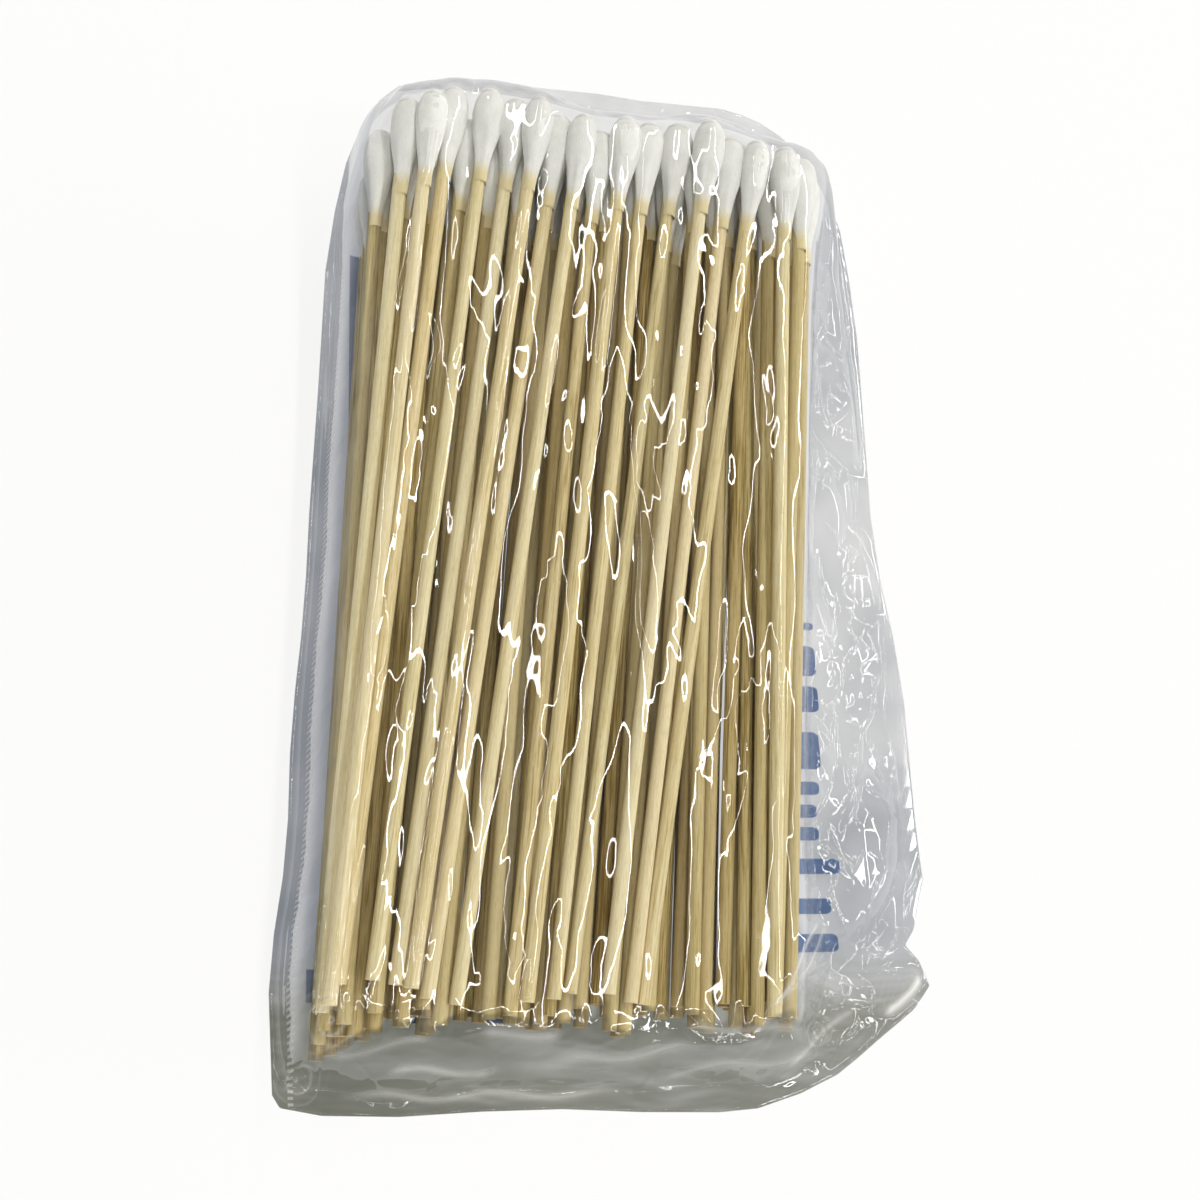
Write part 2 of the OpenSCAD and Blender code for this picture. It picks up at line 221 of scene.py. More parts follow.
def seam_z(x, y):
    """Height of the weld: it rises from the foot to the head, and curls up at the lower right corner."""
    curled = np.maximum(0, np.exp(-(((x - SHIFT_X - 53) / 12) ** 2 + ((y - SHIFT_Y + 78) / 13) ** 2)) - 0.02)
    return 0.9 + 8.1 * eased((y - SHIFT_Y + 70) / 150) + 5 * curled


def gradient_noise(x, y, seed):
    """Smooth noise between about -1 and 1 with cells one unit wide."""
    rng = np.random.default_rng(seed)
    size = 64
    angle = rng.uniform(0, 2 * np.pi, (size, size))
    gx, gy = np.cos(angle), np.sin(angle)
    xi, yi = np.floor(x).astype(int), np.floor(y).astype(int)
    fx, fy = x - xi, y - yi
    sx = fx ** 3 * (fx * (fx * 6 - 15) + 10)
    sy = fy ** 3 * (fy * (fy * 6 - 15) + 10)

    def corner(i, j):
        a, b = (xi + i) % size, (yi + j) % size
        return gx[a, b] * (fx - i) + gy[a, b] * (fy - j)

    low = corner(0, 0) * (1 - sx) + corner(1, 0) * sx
    high = corner(0, 1) * (1 - sx) + corner(1, 1) * sx
    return (low * (1 - sy) + high * sy) * 1.5


def facets(x, y, spacing, slope, bow, turn, seed):
    """A crumpled sheet: shallow caps of radius bow at random tilts, met along creases of softness turn."""
    rng = np.random.default_rng(seed)
    x0, x1, y0, y1 = x.min(), x.max(), y.min(), y.max()
    count = max(3, int((x1 - x0) * (y1 - y0) / spacing ** 2))
    sites = np.column_stack([rng.uniform(x0, x1, count), rng.uniform(y0, y1, count)])
    tilt = rng.normal(0, slope, (count, 2))
    rise = rng.normal(0, slope * spacing * 0.3, count)
    total = np.zeros(x.shape)
    for k in range(count):
        rows, cols = near_block(x, y, sites[k], 3.5 * spacing)
        dx, dy = x[rows, cols] - sites[k, 0], y[rows, cols] - sites[k, 1]
        far = dx * dx + dy * dy
        plane = rise[k] + tilt[k, 0] * dx + tilt[k, 1] * dy - far / (2 * bow)
        plane -= slope * spacing * (far / (2.8 * spacing) ** 2) ** 4
        total[rows, cols] += np.where(far < (3.5 * spacing) ** 2, np.exp(plane / turn), 0)
    return turn * np.log(total + 1e-30)


def near_block(x, y, site, reach):
    """The smallest block of a grid that holds all its points within reach of a site."""
    near = (np.abs(x - site[0]) < reach) & (np.abs(y - site[1]) < reach)
    rows, cols = np.nonzero(near.any(1))[0], np.nonzero(near.any(0))[0]
    if not len(rows):
        return slice(0, 0), slice(0, 0)
    return slice(rows[0], rows[-1] + 1), slice(cols[0], cols[-1] + 1)


def crease_net(x, y, spacing, width, seed):
    """Thin ridges along the borders of random cells, as in crumpled film: 1 on a border, 0 away from it."""
    rng = np.random.default_rng(seed)
    x0, x1, y0, y1 = x.min(), x.max(), y.min(), y.max()
    count = max(3, int((x1 - x0) * (y1 - y0) / spacing ** 2))
    sites = np.column_stack([rng.uniform(x0, x1, count), rng.uniform(y0, y1, count)])
    first = np.full(x.shape, 1e9)
    second = np.full(x.shape, 1e9)
    for site in sites:
        rows, cols = near_block(x, y, site, 3 * spacing)
        far = np.hypot(x[rows, cols] - site[0], y[rows, cols] - site[1])
        second[rows, cols] = np.minimum(second[rows, cols], np.maximum(first[rows, cols], far))
        first[rows, cols] = np.minimum(first[rows, cols], far)
    return np.exp(-(((second - first) / width) ** 2))


def loops(x, y, level, width, seed):
    """Thin closed ridges along a level of smooth noise: 1 on the line, 0 away from it."""
    return np.exp(-(((gradient_noise(x, y, seed) - level) / width) ** 2))


def blurred(h, across, along):
    """Smooths a grid by repeated averaging with its neighbours."""
    for axis, times in ((0, across), (1, along)):
        before = [0, *range(h.shape[axis] - 1)]
        after = [*range(1, h.shape[axis]), h.shape[axis] - 1]
        for _ in range(times):
            h = (np.take(h, before, axis) + 2 * h + np.take(h, after, axis)) / 4
    return h


def ridge(x, y, x0, y0, x1, y1, height, width):
    """A fold line from one plan point to another: a sharp ridge that dies away at its sides and its ends."""
    length = math.hypot(x1 - x0, y1 - y0)
    along = ((x - x0) * (x1 - x0) + (y - y0) * (y1 - y0)) / length
    off = ((x - x0) * (y1 - y0) - (y - y0) * (x1 - x0)) / length
    off = off + 0.5 * np.sin(along * 0.35 + x0)
    ends = eased(along / (0.2 * length)) * eased((length - along) / (0.2 * length))
    return height * ends * np.exp(-(np.sqrt(off * off + 0.09) - 0.3) / width)


def tree_of(objects):
    """One search tree over several meshes, in mm."""
    points, faces, start = [], [], 0
    for o in objects:
        co = np.empty(len(o.data.vertices) * 3)
        o.data.vertices.foreach_get("co", co)
        points.append(co.reshape(-1, 3) / MM)
        faces += [[start + i for i in p.vertices] for p in o.data.polygons]
        start += len(o.data.vertices)
    return BVHTree.FromPolygons(np.vstack(points).tolist(), faces)


def heights(tree, x, y, from_z, way, missing):
    """Height at which a vertical ray from from_z first meets the tree, at every point of a grid."""
    found = np.array(missing, float).copy()
    ray = Vector((0, 0, way))
    for k in np.ndindex(x.shape):
        place = tree.ray_cast(Vector((x[k], y[k], from_z)), ray)[0]
        if place is not None:
            found[k] = place.z
    return found


def parts_of(mesh):
    """Loose parts of a mesh as lists of vertex numbers, vertices at one place counting as joined."""
    count = len(mesh.vertices)
    co = np.empty(count * 3)
    mesh.vertices.foreach_get("co", co)
    co = co.reshape(-1, 3)
    merged = np.unique(np.round(co / 1e-6).astype(np.int64), axis=0, return_inverse=True)[1].ravel()
    edges = np.empty(len(mesh.edges) * 2, int)
    mesh.edges.foreach_get("vertices", edges)
    edges = merged[edges].reshape(-1, 2)
    label = np.arange(merged.max() + 1)
    while True:
        least = np.minimum(label[edges[:, 0]], label[edges[:, 1]])
        new = label.copy()
        np.minimum.at(new, edges[:, 0], least)
        np.minimum.at(new, edges[:, 1], least)
        new = new[new]
        if (new == label).all():
            break
        label = new
    of_vertex = label[merged]
    return co, [np.nonzero(of_vertex == k)[0] for k in np.unique(of_vertex)]


def axis_of(points):
    """Middle, direction towards +Y, and the two directions across of a long thin part."""
    centre = (points.max(0) + points.min(0)) / 2
    along = np.linalg.svd(points - points.mean(0), full_matrices=False)[2][0]
    along = along if along[1] > 0 else -along
    side = np.cross(along, (0, 0, 1))
    side /= np.linalg.norm(side)
    return centre, along, side, np.cross(side, along)


def profile_of(points, centre, along, side, up, digits=6, reach=2e-6):
    """Outer radius of a turned part against the distance along its axis, from its own points."""
    t = (points - centre) @ along
    away = np.hypot((points - centre) @ side, (points - centre) @ up)
    knots = np.unique(np.round(t, digits))
    widest = np.array([away[np.abs(t - k) < reach].max() for k in knots])
    return knots, widest


def placed(name, data):
    """A new object in the scene."""
    made = bpy.data.objects.new(name, data)
    bpy.context.scene.collection.objects.link(made)
    return made


def tops_of_swabs(swabs, x, y):
    """Height of the uppermost swab surface over each point of a grid, in mm, or NO_SWAB."""
    found = np.full(x.shape, NO_SWAB)
    for centre, along, side, up, knots, widest in swabs:
        flat = math.hypot(along[0], along[1])
        dx, dy = x - centre[0] / MM, y - centre[1] / MM
        t = (dx * along[0] + dy * along[1]) / flat ** 2
        off = (dx * along[1] - dy * along[0]) / flat
        r = np.interp(t, knots / MM, widest / MM, left=0, right=0)
        over = r > np.abs(off)
        z = centre[2] / MM + t[over] * along[2] + np.sqrt(r[over] ** 2 - off[over] ** 2)
        found[over] = np.maximum(found[over], z)
    return found


def grid_normals(x, y, z):
    """Unit normals of a height field over a curved grid, upwards."""
    ga = np.stack([np.gradient(c, axis=0) for c in (x, y, z)], -1)
    gb = np.stack([np.gradient(c, axis=1) for c in (x, y, z)], -1)
    normal = np.cross(ga, gb)
    return normal / np.linalg.norm(normal, axis=-1, keepdims=True)


def grid_mesh(name, x, y, z, part=slice(None)):
    """A sheet through part of a grid of points, in mm, shaded with the normals of the whole grid."""
    normals = grid_normals(x, y, z)[:, part].reshape(-1, 3)
    x, y, z = x[:, part], y[:, part], z[:, part]
    rows, cols = x.shape
    mesh = bpy.data.meshes.new(name)
    index = np.arange(rows * cols).reshape(rows, cols)
    quads = np.stack([index[:-1, :-1], index[1:, :-1], index[1:, 1:], index[:-1, 1:]], -1).reshape(-1, 4)
    points = np.stack([x, y, z], -1).reshape(-1, 3) * MM
    mesh.from_pydata(points.tolist(), [], quads.tolist())
    mesh.polygons.foreach_set("use_smooth", [True] * len(mesh.polygons))
    mesh.normals_split_custom_set_from_vertices(normals.tolist())
    return placed(name, mesh)


def point_field(piece, name, values, kind="FLOAT"):
    """Stores a value at each vertex for the materials to read."""
    attribute = piece.data.attributes.new(name, kind, "POINT")
    field = "value" if kind == "FLOAT" else "vector"
    attribute.data.foreach_set(field, np.ascontiguousarray(values, np.float32).ravel())


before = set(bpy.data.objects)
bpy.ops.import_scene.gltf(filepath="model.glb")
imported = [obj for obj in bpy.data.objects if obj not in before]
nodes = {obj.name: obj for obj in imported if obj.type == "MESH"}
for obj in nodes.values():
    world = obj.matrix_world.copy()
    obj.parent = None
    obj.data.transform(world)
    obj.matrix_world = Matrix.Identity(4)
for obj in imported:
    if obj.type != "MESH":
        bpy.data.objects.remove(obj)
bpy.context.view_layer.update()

# Camera
camera_data = bpy.data.cameras.new("camera")
camera = placed("camera", camera_data)
camera_axes = Matrix((CAMERA_RIGHT, CAMERA_UP, [-a for a in CAMERA_AHEAD])).transposed()
camera.matrix_world = Matrix.Translation(Vector(CAMERA_AT) * MM) @ camera_axes.normalized().to_4x4()
camera_data.sensor_width = SENSOR_MM
camera_data.lens = SENSOR_MM * FOCAL_PX / IMAGE_PX
camera_data.clip_start = 0.01
bpy.context.scene.camera = camera

# Film sheets on a plan that follows the bag's outline
film_tree = tree_of([nodes["bag_film"]])
swabs = []
for name in sorted(n for n in nodes if n != "bag_film"):
    co, parts = parts_of(nodes[name].data)
    for part in parts:
        frame_of = axis_of(co[part])
        swabs.append((*frame_of, *profile_of(co[part], *frame_of)))


def spread(count, pull):
    """Shares from 0 to 1 that lie a little closer together near both ends."""
    t = np.linspace(0, 1, count)
    return t - pull * np.sin(2 * np.pi * t) / (2 * np.pi)


def plan(cols, rows):
    """Plan places of a grid and their distances to the left, right, foot and head edges, in mm."""
    a, b = np.meshgrid(spread(cols, CROWDED), spread(rows, CROWDED / 2), indexing="ij")
    xl, xr = left_x(b), right_x(b)
    x = xl + a * (xr - xl)
    low, high = foot_y(a), head_y(a)
    y = low + b * (high - low)
    step = 0.02
    run_across = 2 * step * (xr - xl)
    foot_slope = (foot_y(a + step) - foot_y(a - step)) / run_across
    head_slope = (head_y(a + step) - head_y(a - step)) / run_across
    return x, y, x - xl, xr - x, (y - low) / np.hypot(1, foot_slope), (high - y) / np.hypot(1, head_slope)


x, y, from_left, from_right, from_foot, from_head = plan(*FRONT_GRID)
seam = seam_z(x, y)
cad_top = heights(film_tree, x * INNER, y * INNER, OVER, -1, seam)
under = heights(film_tree, x * INNER, y * INNER, UNDER, 1, seam)
swab_top = tops_of_swabs(swabs, x, y)

# The film hugs the swabs more closely than the CAD solid does, and follows that beyond the tips and at the
# edges.
edge = np.minimum(np.minimum(from_left, from_right), np.minimum(from_foot, from_head))
clear = np.where(swab_top > 0, swab_top + SWAB_GAP, NO_SWAB)
front = cad_top.copy()
for _ in range(TAUT_ROUNDS):
    front = blurred(front, 3, 4)
    front = np.maximum(front, clear)
    front = np.where(edge < 0.6, seam, front)
hug = 0.65 * eased((from_head - 11) / 9) * eased((edge - 2) / 6)
front = cad_top + hug * (front - cad_top)
on_pile = blurred(eased((swab_top + 1) / 3), 8, 8)

# At the right side the film drops to a low shelf beside the swabs.
margin = eased((x - 24) / 6) * (1 - on_pile) * eased(edge / 5) * eased((60 - y) / 20) * eased((y + 62) / 14)
shelf = seam + 1.2 + 0.10 * from_right
front = front + 0.75 * margin * np.minimum(0, shelf - front)
for _ in range(SETTLE_ROUNDS):
    front = blurred(front, 2, 2)
    front = np.maximum(front, clear)
    front = np.where(edge < 0.4, seam, front)

# Waves that run with the swabs, creases between flat patches, thin looped creases, and folds at the ends
lean = math.atan(LEAN)
run = y * math.cos(lean) + x * math.sin(lean)
across = x * math.cos(lean) - y * math.sin(lean)
warp_a = 2.0 * gradient_noise(across / 17, run / 23, 11)
warp_b = 3.0 * gradient_noise(across / 13, run / 31, 12)
long_wave = gradient_noise((across + warp_a) / 10, (run + warp_b) / 44, 13)
mid_wave = gradient_noise((across + warp_b) / 5.5, (run + warp_a) / 21, 14)
short_wave = gradient_noise((across + warp_a) / 2.6, run / 9, 15)
patches = facets(across + warp_a * 0.5, run / 3.4, 7, 0.16, 30, 0.08, 16)
crumple = facets(x + 0.6 * warp_a, y / 1.3 + 0.5 * warp_b, 6.0, 0.26, 20, 0.05, 17)
crumple_fine = facets(x + 0.3 * warp_b, y + 0.3 * warp_a, 3.2, 0.22, 12, 0.03, 18)
flap_wave = gradient_noise((x + warp_b) / 34, (y + 0.5 * warp_a) / 3.4, 19)
flap_lines = loops((x + warp_b) / 30, (y + 0.4 * warp_a) / 3.0, 0.1, 0.12, 22)
flap_net = crease_net((x + 0.5 * y + warp_b) / 3.2, y + 0.5 * warp_a, 3.6, 0.30, 29)
flap_patches = facets((x + warp_b) / 2.6, y + 0.4 * warp_a, 4.5, 0.16, 20, 0.05, 30)
flap_patches = flap_patches - flap_patches.mean()
net = crease_net(x + 0.9 * warp_a, y / 1.25 + 0.7 * warp_b, 6.5, 0.42, 23)
net_fine = crease_net(x + 0.5 * warp_b, y / 1.1 + 0.5 * warp_a, 3.4, 0.38, 24)
long_loops = loops((across + warp_a) / 4.2, (run + warp_b) / 17, 0.28, 0.085, 25)
small_loops = loops((across + warp_b) / 2.6, (run + warp_a) / 8, 0.42, 0.11, 26)

# Where those are strong: random patches, beside the swabs, at the right side, at the foot and in busy places
here = eased(gradient_noise(x / 13 + 5, y / 17, 27) * 1.2 + 0.55)
there = eased(gradient_noise(x / 9, y / 21 + 3, 28) * 1.2 + 0.45)
beside = (1 - on_pile) * eased(edge / 4)
right_side = eased((x - 30) / 6)
low_end = eased((-62 - y) / 12)
busy = sum(np.exp(-(((x - bx0) / rx) ** 2 + ((y - by0) / ry) ** 2)) for bx0, by0, rx, ry in BUSY)
busy = np.minimum(1, busy + 0.35 * there)

# All of it added up as heights in mm, less of it near the edges and the head
waves = on_pile * (0.50 * long_wave + (0.25 + 0.12 * busy) * mid_wave + (0.07 + 0.08 * busy) * short_wave)
waves += on_pile * (0.28 + 0.24 * busy) * (patches - patches.mean())
waves += on_pile * (0.3 + 0.7 * busy) * (0.16 * here * long_loops + 0.15 * there * small_loops)
waves += (beside * (0.35 + 0.35 * right_side) + 0.06 * on_pile * busy) * (crumple - crumple.mean())
waves += (beside * (0.15 + 0.25 * right_side) + 0.13 * low_end) * (crumple_fine - crumple_fine.mean())
waves += (beside * (0.10 + 0.16 * right_side) * (0.3 + 0.7 * here) + 0.03 * on_pile * there) * net
waves += beside * (0.05 + 0.09 * right_side) * there * net_fine
waves += beside * low_end * (0.10 * flap_wave + 0.05 * flap_lines + 0.24 * flap_net + 0.60 * flap_patches)
for sx, sy, reach in SWIRLS:
    far = np.hypot(x - sx + 1.2 * warp_a, (y - sy) * 1.2)
    waves += 0.40 * np.cos(2 * np.pi * far / SWIRL_PITCH) * np.exp(-((far / reach) ** 2))
for fold in FOLDS:
    waves += ridge(x, y, *fold)
waves *= eased(edge / 2.5) * (0.45 + 0.55 * eased((from_head - 9) / 12))
front = front + waves
head_room = 0.25 + 3 * eased((from_head - 8) / 10)
front = np.minimum(front, np.maximum(cad_top, seam) + head_room)
front = np.maximum(front, np.maximum(clear, under + FILM_GAP))
front = (front + blurred(front, 1, 1)) / 2
front = front + on_pile * (blurred(front, 1, 6) - front)
front = np.where(edge < 0.05, seam, front)


def film_fields(piece, part, x, y, from_left, from_right, cover, clearest, shade=0, painted_glints=False):
    """Values that the film's material reads: how far in from the nearer side a point is, the share of each
    colour that passes, which carries painted shade, and haze, which carries painted highlights where asked.
    Cover is 1 over the swabs, where the film is stretched and clearest."""
    inward = np.where(from_left < from_right, from_left, from_right + 100)
    left_part = eased((-x - 8) / 34)
    low_part = eased((-64 - y) / 14)
    right_part = eased((x - 20) / 20)
    cloud = gradient_noise(x / 11, y / 13, 31) + 0.5 * gradient_noise(x / 4.5, y / 5.5, 32)
    skew = y + 0.12 * x + 1.2 * gradient_noise(x / 12, y / 9, 35)
    streaks = gradient_noise(x / 15, skew / 2.4, 33) + 0.7 * gradient_noise(x / 7, skew / 1.0, 34)

    # How grey the loose film is drawn, as painted shade that stands in for the shadow of the swabs and the
    # film on the floor below: darkest beside the swabs at the left and in the flap at the foot
    painted_shade = 0.30 + left_part * (0.55 - 0.16 * eased((y - 10) / 60)) + 0.22 * right_part * eased((-y - 25) / 30)
    painted_shade = painted_shade + 0.10 * right_part * eased((y - 25) / 30) - 0.10 * right_part * np.exp(-((y - 5) / 24) ** 2)
    painted_shade = painted_shade * (1 - 0.85 * eased((y - 68) / 12))
    painted_shade = painted_shade + 0.12 * left_part * eased((-y - 20) / 30)
    flap_shade = 1.18 - 0.20 * eased((x + 34) / 24) - 0.16 * eased((x - 12) / 30)
    shaded = np.maximum(painted_shade, low_part * flap_shade) + shade
    shaded = np.clip(shaded + 0.13 * cloud * (1 - low_part) + 0.24 * streaks * low_part, 0, 1.25)
    dark = COOL_SHADE + (WARM_SHADE - COOL_SHADE) * low_part[..., None]
    loose = LOOSE_CLEAR + shaded[..., None] * (dark - LOOSE_CLEAR)
    tint = clearest + (1 - cover)[..., None] * (loose - clearest)

    haze = (0.008 * (1 - cover) + 0.19 * eased((y - 60) / 22)) * np.clip(0.7 + 0.5 * cloud, 0.1, 1.5)
    haze = haze + 0.07 * low_part * (1 - cover) * np.clip(streaks, 0, 1)
    if painted_glints:
        # Painted highlights: whitish streaks along the folds, standing in for the light glinting there.
        haze = haze + 1.3 * sum(ridge(x, y, *glint_line) for glint_line in PAINTED_GLINT_LINES)
        # Painted highlights: whitish rings on the ripples near the foot, standing in for their reflections.
        for sx, sy, reach in SWIRLS:
            far = np.hypot(x - sx, (y - sy) * 1.2) + 1.4 * cloud
            rings = np.clip(np.cos(2 * np.pi * far / SWIRL_PITCH), 0, 1) ** 4
            haze += 0.30 * rings * np.exp(-((far / reach) ** 2))
    point_field(piece, "tint", tint[:, part], "FLOAT_VECTOR")
    point_field(piece, "inward", inward[:, part])
    point_field(piece, "haze", haze[:, part])


covered = eased((on_pile - 0.5) * 2.4)
sheets = []
halves = (("film_front_foot", slice(None, FRONT_SPLIT + 1)), ("film_front_head", slice(FRONT_SPLIT, None)))
for name, part in halves:
    sheet = grid_mesh(name, x, y, front, part)
    film_fields(sheet, part, x, y, from_left, from_right, covered, FRONT_CLEAR, painted_glints=True)
    sheets.append(sheet)

# The back film lies flat on the floor under the swabs, with shallow dents, and rises to the weld.
bx, by, b_left, b_right, b_foot, b_head = plan(*BACK_GRID)
b_seam = seam_z(bx, by)
back = heights(film_tree, bx * INNER, by * INNER, UNDER, 1, b_seam)
back = np.maximum(0, blurred(back, 1, 1))
b_edge = np.minimum(np.minimum(b_left, b_right), np.minimum(b_foot, b_head))
under_pile = tops_of_swabs(swabs, bx, by) > 0
dents = facets(bx, by, 9, 0.05, 60, 0.05, 21)
back = back + 0.5 * np.clip(dents - dents.min(), 0, 0.5) * eased(b_edge / 6)
back = np.where(under_pile, np.minimum(back, UNDER_PILE), back)
back = np.where(b_edge < 0.05, b_seam, np.maximum(back, 0))
film_back = grid_mesh("film_back", bx, by, back)

# It is drawn darker under the swabs at the left and at the foot, where the pile shades it.
near_pile = eased(3 * blurred(under_pile * 1.0, 9, 9))
beneath = 0.9 * eased((-bx - 34) / 8) * eased((66 - by) / 20) * near_pile
beneath += 0.9 * eased((-58 - by) / 8) * near_pile
film_fields(film_back, slice(None), bx, by, b_left, b_right, 0 * b_edge, BACK_CLEAR, beneath)
sheets.append(film_back)


# Materials
def material(name):
    """An empty material with its node tree and output."""
    made = bpy.data.materials.new(name)
    made.use_nodes = True
    tree = made.node_tree
    tree.nodes.clear()
    out = tree.nodes.new("ShaderNodeOutputMaterial")
    return made, tree, out


def node(tree, kind, **inputs):
    """Adds a node and sets what is named: _field, or a socket by its name or by i and its number."""
    made = tree.nodes.new(kind)
    for key, value in inputs.items():
        if key.startswith("_"):
            setattr(made, key[1:], value)
            continue
        numbered = key[0] == "i" and key[1:].isdigit()
        socket = made.inputs[int(key[1:]) if numbered else key.replace("_", " ")]
        if isinstance(value, bpy.types.NodeSocket):
            tree.links.new(value, socket)
        else:
            socket.default_value = value
    return made


def math_node(tree, operation, *values):
    """The result of a math node whose values are numbers or sockets."""
    named = {"i%d" % k: value for k, value in enumerate(values)}
    return node(tree, "ShaderNodeMath", _operation=operation, **named).outputs[0]


def field(tree, name):
    """A number stored at the points or faces of a piece."""
    return node(tree, "ShaderNodeAttribute", _attribute_name=name).outputs["Fac"]


def vector_field(tree, name):
    """A vector stored at the points of a piece."""
    return node(tree, "ShaderNodeAttribute", _attribute_name=name).outputs["Vector"]


def noise(tree, place, scale, detail, roughness=0.5, stretch=None, turn=0.0):
    """Noise over a place, which a stretch scales along each axis and a turn rotates about the third."""
    if stretch:
        laid = node(tree, "ShaderNodeMapping", Vector=place, Scale=stretch, Rotation=(0.0, 0.0, turn))
        place = laid.outputs[0]
    made = node(tree, "ShaderNodeTexNoise", Vector=place, Scale=scale, Detail=detail, Roughness=roughness)
    return made.outputs[0]


def colours(tree, value, first, last, *between):
    """Colours by a value, from stops that are each a position and a colour."""
    made = tree.nodes.new("ShaderNodeValToRGB")
    stops = made.color_ramp.elements
    for stop, (position, colour) in zip(stops, (first, last)):
        stop.position, stop.color = position, (*colour, 1)
    for position, colour in between:
        stops.new(position).color = (*colour, 1)
    tree.links.new(value, made.inputs[0])
    return made.outputs[0]


def mixed(tree, amount, colour, other, how="MIX"):
    """A colour mixed with another, or multiplied by it, as far as the amount says."""
    return node(tree, "ShaderNodeMixRGB", _blend_type=how, i0=amount, i1=colour, i2=(*other, 1)).outputs[0]


def film_material(name, shiny):
    """Clear film that tints what is behind it and clouds with its haze, the tint carrying painted shade and
    the haze any painted highlights; gloss and welds if it is shiny.
    """
    made, tree, out = material(name)
    body = node(tree, "ShaderNodeBsdfTransparent", Color=vector_field(tree, "tint")).outputs[0]
    cloudy = field(tree, "haze")
    if shiny:
        gloss = node(tree, "ShaderNodeBsdfGlossy", Color=(0.84, 0.84, 0.86, 1), Roughness=0.035).outputs[0]
        by_angle = math_node(tree, "MULTIPLY", node(tree, "ShaderNodeFresnel", IOR=1.5).outputs[0], 1.2)
        body = node(tree, "ShaderNodeMixShader", i0=by_angle, i1=body, i2=gloss).outputs[0]
        off_line = math_node(tree, "ABSOLUTE", math_node(tree, "SUBTRACT", field(tree, "inward"), WELD_IN))
        band = math_node(tree, "LESS_THAN", off_line, WELD_HALF)
        place = node(tree, "ShaderNodeTexCoord").outputs["Object"]
        run = node(tree, "ShaderNodeSeparateXYZ", Vector=place).outputs[1]
        teeth = math_node(tree, "SINE", math_node(tree, "MULTIPLY", run, 2 * math.pi / WELD_PITCH))
        dots = math_node(tree, "MULTIPLY", band, math_node(tree, "GREATER_THAN", teeth, 0.1))
        cloudy = math_node(tree, "MULTIPLY_ADD", dots, 0.3, cloudy)
    # The milky white shows the haze and the painted highlights drawn into it.
    milk = node(tree, "ShaderNodeBsdfDiffuse", Color=(0.80, 0.80, 0.79, 1)).outputs[0]
    whole = node(tree, "ShaderNodeMixShader", i0=cloudy, i1=body, i2=milk)
    tree.links.new(whole.outputs[0], out.inputs["Surface"])
    return made


front_look = film_material("clear_film", True)
back_look = film_material("clear_film_back", False)
for sheet in sheets:
    sheet.data.materials.append(back_look if sheet is film_back else front_look)
    sheet.visible_shadow = False
    sheet.visible_diffuse = False
    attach(sheet, "root")
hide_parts("bag_film")


# Wood: streaks along each stick, from coordinates, a tone and a warmth of its own
def wood_material():
    """Birch: streaks and bands along the stick, darker flecks, pale cut ends, and shade on the rows below."""
    made, tree, out = material("birch_wood")
    own = vector_field(tree, "grain")
    streaks = noise(tree, own, 3.2, 1.5, 0.7, (0.035, 1.0, 1.0))
    flecks = noise(tree, own, 2.0, 0.0, 0.6, (0.35, 4.5, 4.5))
    broad = noise(tree, own, 1.6, 0.0, 0.5, (0.03, 0.12, 0.12))
    light = math_node(tree, "MULTIPLY", streaks, 0.62)
    light = math_node(tree, "ADD", light, math_node(tree, "MULTIPLY", field(tree, "tone"), 0.30))
    light = math_node(tree, "ADD", light, math_node(tree, "MULTIPLY", broad, 0.18))
    low_stop, high_stop = (0.34, (0.345, 0.258, 0.09)), (0.70, (0.79, 0.715, 0.475))
    colour = colours(tree, light, low_stop, high_stop, (0.48, (0.65, 0.56, 0.30)))
    flecked = node(tree, "ShaderNodeMapRange", Value=flecks, From_Min=0.55, From_Max=0.78, To_Max=0.35)
    colour = mixed(tree, flecked.outputs[0], colour, (0.62, 0.5, 0.36), "MULTIPLY")
    colour = mixed(tree, field(tree, "warmth"), colour, (0.98, 0.93, 0.89), "MULTIPLY")
    colour = mixed(tree, field(tree, "cut"), colour, (0.86, 0.73, 0.50))
    # Painted shade: sticks in the rows below the top one are multiplied darker.
    colour = mixed(tree, field(tree, "deep"), colour, (0.76, 0.72, 0.61), "MULTIPLY")
    surface = node(tree, "ShaderNodeBsdfPrincipled", Base_Color=colour, Roughness=0.62,
                   Specular_IOR_Level=0.0)
    tree.links.new(surface.outputs[0], out.inputs["Surface"])
    return made


wood = wood_material()
rng = np.random.default_rng(7)
for name in sorted(n for n in nodes if "stick" in n):
    piece = nodes[name]
    co, parts = parts_of(piece.data)
    grain, axes = np.zeros_like(co), np.zeros_like(co)
    tone, warmth = np.zeros(len(co)), np.zeros(len(co))
    for part in parts:
        centre, along, side, up = axis_of(co[part])
        offset = rng.uniform(-400, 400, 3)
        d = (co[part] - centre) / MM
        grain[part] = np.column_stack([d @ along, d @ side, d @ up]) + offset
        tone[part] = rng.uniform(0, 1)
        warmth[part] = rng.uniform(0, 1)
        axes[part] = along
    point_field(piece, "grain", grain, "FLOAT_VECTOR")
    point_field(piece, "tone", tone)
    point_field(piece, "warmth", warmth)
    # Painted shade: sticks outside the top row are marked to be drawn darker.
    point_field(piece, "deep", np.full(len(co), 0 if name.startswith("swab") else 1))
    ends = [abs(p.normal.dot(Vector(axes[p.vertices[0]]))) > 0.9 for p in piece.data.polygons]
    piece.data.attributes.new("cut", "FLOAT", "FACE").data.foreach_set("value", np.array(ends, np.float32))
    piece.data.materials.clear()
    piece.data.materials.append(wood)


